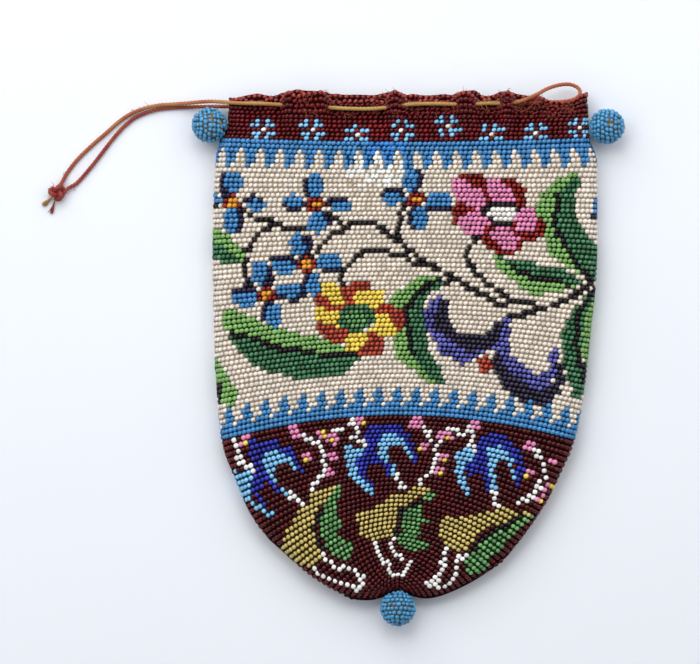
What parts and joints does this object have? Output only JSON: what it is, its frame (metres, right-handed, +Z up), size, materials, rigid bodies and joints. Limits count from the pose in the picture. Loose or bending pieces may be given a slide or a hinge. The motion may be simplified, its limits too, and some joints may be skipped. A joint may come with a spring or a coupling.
{
  "type": "beaded drawstring bag",
  "caption": "Flat bead-crocheted drawstring pouch with a gathered collar, rounded bottom, floral band, woven cord with knotted ends and bead-covered balls.",
  "frame": {"origin": "bottom centre of the bounding box of the bag and its balls, on the table under the bag", "axes": "+Y along the bag towards its mouth, +Z up from the table through the front of the bag, +X to the right of the floral front"},
  "size_m": [0.2157, 0.2011, 0.013],
  "materials": {
    "beaded_fabric": "glossy glass seed beads in cream, maroon and blue, crocheted on tan thread",
    "ball_beads": "glossy turquoise glass seed beads",
    "ball_core": "wound tan thread",
    "cord": "twisted cord, tan worn from rust red",
    "cord_dark": "twisted dark red cord"
  },
  "bodies": {
    "root": {"bag_body": "beaded_fabric", "left_ball_beads": "ball_beads", "left_ball_core": "ball_core", "right_ball_beads": "ball_beads", "right_ball_core": "ball_core", "bottom_ball_beads": "ball_beads", "bottom_ball_core": "ball_core", "drawstring": "cord", "drawstring_knot": "cord_dark", "tan_tail": "cord", "red_tail": "cord_dark"}
  },
  "joints": []
}
